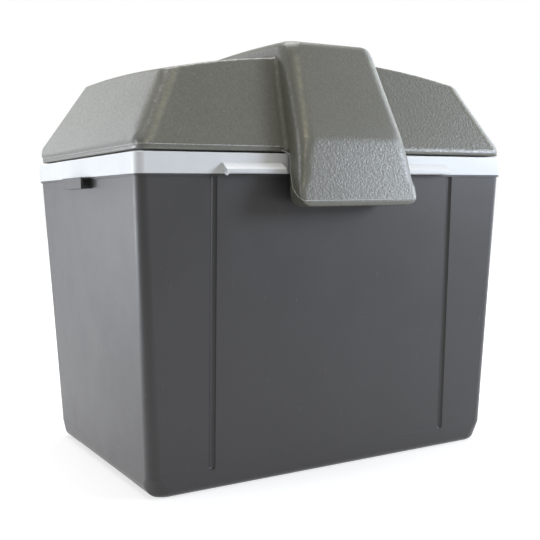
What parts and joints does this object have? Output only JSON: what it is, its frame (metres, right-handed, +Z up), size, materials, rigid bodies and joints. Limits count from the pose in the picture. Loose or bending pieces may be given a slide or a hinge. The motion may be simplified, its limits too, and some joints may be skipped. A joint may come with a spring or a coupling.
{
  "type": "cooler",
  "caption": "Thermoelectric travel cooler: tapered insulated tub, white rim collar, rear-hinged domed lid with a raised front flap over a cooling module and fans.",
  "frame": {"origin": "centre of the tub's underside, on the surface it stands on", "axes": "+X to the right along the front as seen from the front, +Y from front to back, +Z up"},
  "size_m": [0.437, 0.3508, 0.4201],
  "materials": {
    "body_plastic": "moulded, fine matt grain",
    "lid_plastic": "moulded with a leather-like grain",
    "collar_plastic": "white, satin to gloss",
    "liner_plastic": "white, satin",
    "insulation": "rigid foam, filled in place",
    "seal_rubber": "soft grey strip",
    "hinge_steel": "stamped stainless sheet",
    "screw_steel": "plain zinc-plated",
    "spring_steel": "blued strip",
    "sink_aluminium": "mill finish",
    "tile_ceramic": "white ceramic faces",
    "motor_steel": "drawn can",
    "fan_plastic": "black moulded",
    "guard_plastic": "white moulded",
    "grille_plastic": "black moulded",
    "cable_rubber": "black sheath"
  },
  "bodies": {
    "tub": {"outer_shell": "body_plastic", "body_foam": "insulation", "inner_liner": "liner_plastic", "rim_collar": "collar_plastic", "hinge_body_leaves": "hinge_steel", "hinge_pins": "hinge_steel", "hinge_body_screws": "screw_steel"},
    "lid": {"lid_shell": "lid_plastic", "lid_foam": "insulation", "lid_pan": "liner_plastic", "lid_gasket": "seal_rubber", "pan_screws": "screw_steel", "hinge_lid_leaves": "hinge_steel", "hinge_lid_screws": "screw_steel", "latch_clip": "spring_steel", "latch_screws": "screw_steel", "cold_sink": "sink_aluminium", "cold_block": "sink_aluminium", "thermoelectric_tile": "tile_ceramic", "module_insulator": "insulation", "hot_sink": "sink_aluminium", "clamp_screws": "screw_steel", "motor_bracket": "hinge_steel", "fan_motor": "motor_steel", "fan_guard": "guard_plastic", "guard_screws": "screw_steel", "vent_grille": "grille_plastic", "grille_screws": "screw_steel", "power_inlet": "grille_plastic", "supply_cable": "cable_rubber"},
    "fan_rotor": {"fan_shaft": "hinge_steel", "hot_fan": "fan_plastic", "cold_fan": "fan_plastic"}
  },
  "joints": [
    {"name": "lid_hinge", "type": "hinge", "parent": "tub", "child": "lid", "pos_m": [0, 0.1522, 0.3141], "axis": [-1, 0, 0], "range_deg": [0, 100]},
    {"name": "fan_spin", "type": "hinge", "parent": "lid", "child": "fan_rotor", "pos_m": [0, 0.012, 0.35], "axis": [0, 0, 1], "continuous": true}
  ]
}
